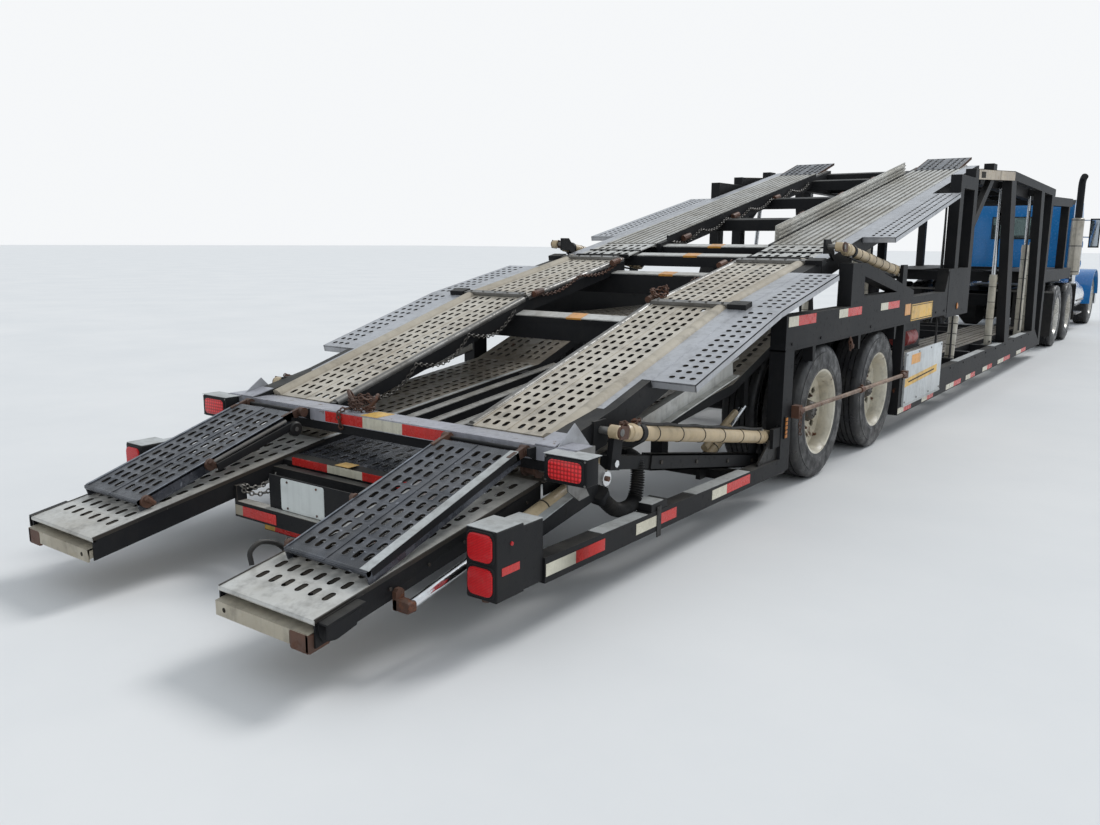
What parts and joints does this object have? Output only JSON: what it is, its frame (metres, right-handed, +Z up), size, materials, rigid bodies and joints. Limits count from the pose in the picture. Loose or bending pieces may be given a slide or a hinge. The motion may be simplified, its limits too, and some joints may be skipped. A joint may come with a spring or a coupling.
{
  "type": "car transporter truck",
  "caption": "Articulated car transporter: day cab tractor and a sloping double deck car trailer with hydraulic decks, perforated lanes and hinged loading ramps.",
  "frame": {"origin": "on the ground under the middle of the bounding box", "axes": "+Z up, the nose points to -Y, the vehicle's left side is +X"},
  "size_m": [2.74, 21.375, 2.8835],
  "materials": {
    "blue_paint": "gloss",
    "chrome": "worn bright",
    "black_steel": "worn, dusty",
    "pale_steel": "galvanised, dirty",
    "cream_paint": "faded",
    "rod_steel": "bright",
    "white_panel": "scuffed",
    "glass": "clear",
    "seat_cloth": "matt",
    "red_lens": "gloss",
    "engine_iron": "matt",
    "tyre": "dusty"
  },
  "bodies": {
    "tractor": {"tractor_frame": "black_steel", "cab": "blue_paint", "cab_glass": "glass", "cab_interior": "seat_cloth", "front_bumper": "chrome", "fuel_tanks": "chrome", "engine": "engine_iron", "steer_axle": "black_steel", "drive_axles": "black_steel", "fifth_wheel": "black_steel", "exhaust": "chrome", "catwalk": "black_steel"},
    "hood": {"hood": "blue_paint", "grille_and_lamps": "chrome"},
    "door_left": {"door_left": "blue_paint"},
    "door_right": {"door_right": "blue_paint"},
    "knuckle_left": {"knuckle_left": "black_steel"},
    "knuckle_right": {"knuckle_right": "black_steel"},
    "steer_wheel_left": {"steer_wheel_left": "tyre"},
    "steer_wheel_right": {"steer_wheel_right": "tyre"},
    "trailer": {"side_frames": "black_steel", "upper_frame": "black_steel", "lower_deck": "pale_steel", "tail_bars": "black_steel", "trailer_axles": "black_steel", "post_cylinders": "cream_paint", "neck": "black_steel", "head_deck": "pale_steel", "landing_legs": "black_steel", "lamp_boxes": "black_steel", "rear_lenses": "red_lens", "guard_panels": "white_panel", "tie_bars": "pale_steel", "loading_skids": "pale_steel", "lower_deck_cylinders": "cream_paint"},
    "mid_deck": {"mid_deck": "pale_steel", "mid_deck_lanes": "pale_steel", "mid_deck_wings": "pale_steel", "bridge_plates": "black_steel"},
    "rear_deck": {"rear_deck": "pale_steel", "rear_deck_lanes": "pale_steel", "rear_deck_wings": "pale_steel", "upper_lamps": "black_steel"},
    "front_deck": {"front_deck": "pale_steel"},
    "front_deck_rods": {"front_deck_rods": "rod_steel"},
    "loading_ramp_left": {"loading_ramp_left": "black_steel"},
    "loading_ramp_right": {"loading_ramp_right": "black_steel"},
    "rear_lift_barrels": {"rear_lift_barrels": "cream_paint"},
    "rear_lift_rods": {"rear_lift_rods": "rod_steel"},
    "mid_lift_barrels": {"mid_lift_barrels": "cream_paint"},
    "mid_lift_rods": {"mid_lift_rods": "rod_steel"},
    "trailer_wheels_rear_left": {"trailer_wheels_rear_left": "tyre"},
    "trailer_wheels_rear_right": {"trailer_wheels_rear_right": "tyre"},
    "trailer_wheels_front_left": {"trailer_wheels_front_left": "tyre"},
    "trailer_wheels_front_right": {"trailer_wheels_front_right": "tyre"},
    "drive_wheels_rear_left": {"drive_wheels_rear_left": "tyre"},
    "drive_wheels_rear_right": {"drive_wheels_rear_right": "tyre"},
    "drive_wheels_front_left": {"drive_wheels_front_left": "tyre"},
    "drive_wheels_front_right": {"drive_wheels_front_right": "tyre"}
  },
  "joints": [
    {"name": "trailer_turn", "type": "hinge", "parent": "tractor", "child": "trailer", "pos_m": [0, -4.7975, 1.05], "axis": [0, 0, 1], "range_deg": [-75, 75]},
    {"name": "hood_tilt", "type": "hinge", "parent": "tractor", "child": "hood", "pos_m": [0, -10.4875, 0.69], "axis": [1, 0, 0], "range_deg": [0, 55]},
    {"name": "door_right_swing", "type": "hinge", "parent": "tractor", "child": "door_right", "pos_m": [-1.034, -8.3935, 1.4], "axis": [0, 0, 1], "range_deg": [0, 65]},
    {"name": "door_left_swing", "type": "hinge", "parent": "tractor", "child": "door_left", "pos_m": [1.034, -8.3935, 1.4], "axis": [0, 0, -1], "range_deg": [0, 65]},
    {"name": "steering_right", "type": "hinge", "parent": "tractor", "child": "knuckle_right", "pos_m": [-0.82, -9.5875, 0.485], "axis": [0, 0, 1], "range_deg": [-32, 32]},
    {"name": "steering_left", "type": "hinge", "parent": "tractor", "child": "knuckle_left", "pos_m": [0.82, -9.5875, 0.485], "axis": [0, 0, 1], "range_deg": [-32, 32]},
    {"name": "steer_wheel_right_spin", "type": "hinge", "parent": "knuckle_right", "child": "steer_wheel_right", "pos_m": [-1.02, -9.5875, 0.485], "axis": [1, 0, 0], "continuous": true},
    {"name": "steer_wheel_left_spin", "type": "hinge", "parent": "knuckle_left", "child": "steer_wheel_left", "pos_m": [1.02, -9.5875, 0.485], "axis": [1, 0, 0], "continuous": true},
    {"name": "trailer_wheels_rear_left_spin", "type": "hinge", "parent": "trailer", "child": "trailer_wheels_rear_left", "pos_m": [0.98, 6.4625, 0.463], "axis": [1, 0, 0], "continuous": true},
    {"name": "trailer_wheels_rear_right_spin", "type": "hinge", "parent": "trailer", "child": "trailer_wheels_rear_right", "pos_m": [-0.98, 6.4625, 0.463], "axis": [1, 0, 0], "continuous": true},
    {"name": "trailer_wheels_front_left_spin", "type": "hinge", "parent": "trailer", "child": "trailer_wheels_front_left", "pos_m": [0.98, 5.2175, 0.463], "axis": [1, 0, 0], "continuous": true},
    {"name": "trailer_wheels_front_right_spin", "type": "hinge", "parent": "trailer", "child": "trailer_wheels_front_right", "pos_m": [-0.98, 5.2175, 0.463], "axis": [1, 0, 0], "continuous": true},
    {"name": "drive_wheels_rear_left_spin", "type": "hinge", "parent": "tractor", "child": "drive_wheels_rear_left", "pos_m": [0.98, -4.1375, 0.485], "axis": [1, 0, 0], "continuous": true},
    {"name": "drive_wheels_rear_right_spin", "type": "hinge", "parent": "tractor", "child": "drive_wheels_rear_right", "pos_m": [-0.98, -4.1375, 0.485], "axis": [1, 0, 0], "continuous": true},
    {"name": "drive_wheels_front_left_spin", "type": "hinge", "parent": "tractor", "child": "drive_wheels_front_left", "pos_m": [0.98, -5.4575, 0.485], "axis": [1, 0, 0], "continuous": true},
    {"name": "drive_wheels_front_right_spin", "type": "hinge", "parent": "tractor", "child": "drive_wheels_front_right", "pos_m": [-0.98, -5.4575, 0.485], "axis": [1, 0, 0], "continuous": true},
    {"name": "mid_deck_lift", "type": "hinge", "parent": "trailer", "child": "mid_deck", "pos_m": [0, 1.6925, 2.37], "axis": [1, 0, 0], "range_deg": [0, 10]},
    {"name": "rear_deck_level", "type": "hinge", "parent": "mid_deck", "child": "rear_deck", "pos_m": [0, 6.2075, 1.415], "axis": [1, 0, 0], "range_deg": [0, 2.1]},
    {"name": "rear_lift_swing", "type": "hinge", "parent": "trailer", "child": "rear_lift_barrels", "pos_m": [0, 7.3225, 0.425], "axis": [1, 0, 0], "range_deg": [0, 33.31]},
    {"name": "rear_lift_extend", "type": "slide", "parent": "rear_lift_barrels", "child": "rear_lift_rods", "axis": [0, 0.984, 0.1781], "range_m": [0, 0.7667]},
    {"name": "mid_lift_swing", "type": "hinge", "parent": "trailer", "child": "mid_lift_barrels", "pos_m": [0, 4.7825, 1.385], "axis": [1, 0, 0], "range_deg": [0, 26.96]},
    {"name": "mid_lift_extend", "type": "slide", "parent": "mid_lift_barrels", "child": "mid_lift_rods", "axis": [0, 0.9903, 0.1389], "range_m": [0, 0.3404]},
    {"name": "front_deck_lower", "type": "hinge", "parent": "trailer", "child": "front_deck", "pos_m": [0, -2.2825, 2.27], "axis": [1, 0, 0], "range_deg": [-12, 0]},
    {"name": "front_deck_rods_slide", "type": "slide", "parent": "trailer", "child": "front_deck_rods", "axis": [0, 0, 1], "range_m": [-0.6, 0]},
    {"name": "loading_ramp_left_swing", "type": "hinge", "parent": "rear_deck", "child": "loading_ramp_left", "pos_m": [0.765, 9.4525, 0.69], "axis": [1, 0, 0], "range_deg": [0, 100]},
    {"name": "loading_ramp_right_swing", "type": "hinge", "parent": "rear_deck", "child": "loading_ramp_right", "pos_m": [-0.765, 9.4525, 0.69], "axis": [1, 0, 0], "range_deg": [0, 100]}
  ],
  "couplings": [
    {"joint": "rear_deck_level", "follows": "mid_deck_lift", "ratio": 0.2},
    {"joint": "steering_left", "follows": "steering_right", "ratio": 1},
    {"joint": "rear_lift_swing", "follows": "mid_deck_lift", "ratio": 3.3109},
    {"joint": "rear_lift_extend", "follows": "mid_deck_lift", "m_per_rad": 4.3813},
    {"joint": "mid_lift_swing", "follows": "mid_deck_lift", "ratio": 2.676},
    {"joint": "mid_lift_extend", "follows": "mid_deck_lift", "m_per_rad": 1.939},
    {"joint": "front_deck_rods_slide", "follows": "front_deck_lower", "m_per_rad": 2.856}
  ]
}
